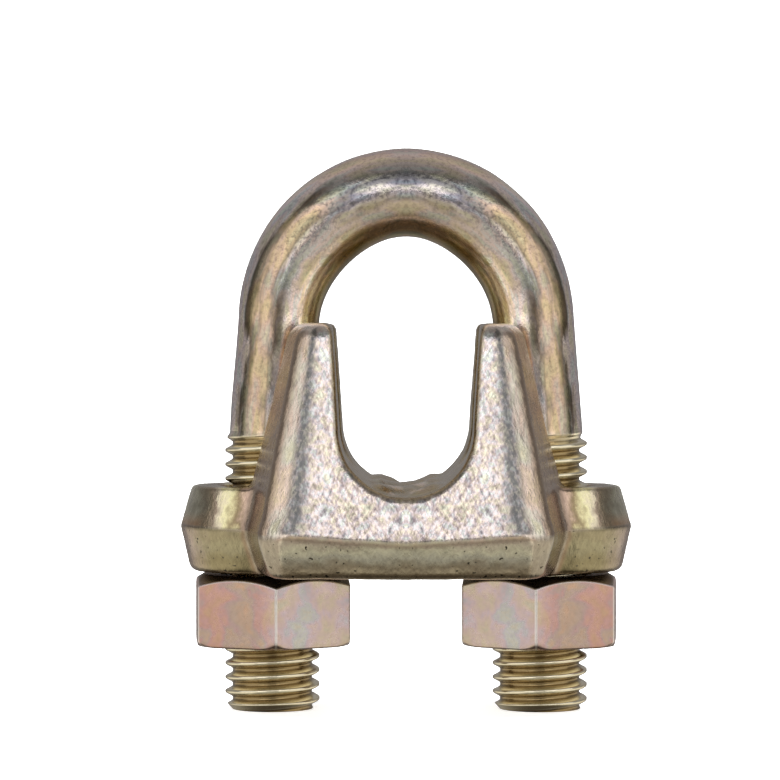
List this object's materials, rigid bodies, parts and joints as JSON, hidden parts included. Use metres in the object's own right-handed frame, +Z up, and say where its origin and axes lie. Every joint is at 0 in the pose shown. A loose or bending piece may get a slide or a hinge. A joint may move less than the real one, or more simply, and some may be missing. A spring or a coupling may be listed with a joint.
{
  "type": "wire rope clip",
  "caption": "U-bolt wire rope clip: a threaded U-bolt, a forged saddle with four horns and a ribbed rope seat, and a hex nut on each leg.",
  "frame": {"origin": "midway between the two leg ends, on the plane they stand on", "axes": "+X from the left leg to the right leg, +Y along the rope, away from the front view, +Z up from the leg ends to the crown of the bow"},
  "size_m": [0.0476, 0.036, 0.0592],
  "materials": {
    "plated_bar": "yellow chromated zinc plate on a hot-bent round bar, satin, with rolled threads",
    "plated_forging": "yellow chromated zinc plate on a drop forging, satin over a fine forged texture",
    "plated_nut": "yellow chromated zinc plate on smooth machined steel, satin, pink and gold tints"
  },
  "bodies": {
    "u_bolt": {"u_bolt": "plated_bar"},
    "saddle": {"saddle": "plated_forging"},
    "nut_left": {"nut_left": "plated_nut"},
    "nut_right": {"nut_right": "plated_nut"}
  },
  "joints": [
    {"name": "saddle_slide", "type": "slide", "parent": "u_bolt", "child": "saddle", "axis": [0, 0, 1], "range_m": [-0.006, 0.0135]},
    {"name": "nut_left_turn", "type": "hinge", "parent": "saddle", "child": "nut_left", "pos_m": [-0.01415, 0, 0.01], "axis": [0, 0, 1], "range_deg": [-1441, 3241]},
    {"name": "nut_right_turn", "type": "hinge", "parent": "saddle", "child": "nut_right", "pos_m": [0.01415, 0, 0.01], "axis": [0, 0, 1], "range_deg": [-1441, 3241]}
  ],
  "couplings": [
    {"joint": "nut_left_turn", "follows": "saddle_slide", "rad_per_m": 4188.8},
    {"joint": "nut_right_turn", "follows": "saddle_slide", "rad_per_m": 4188.8}
  ]
}
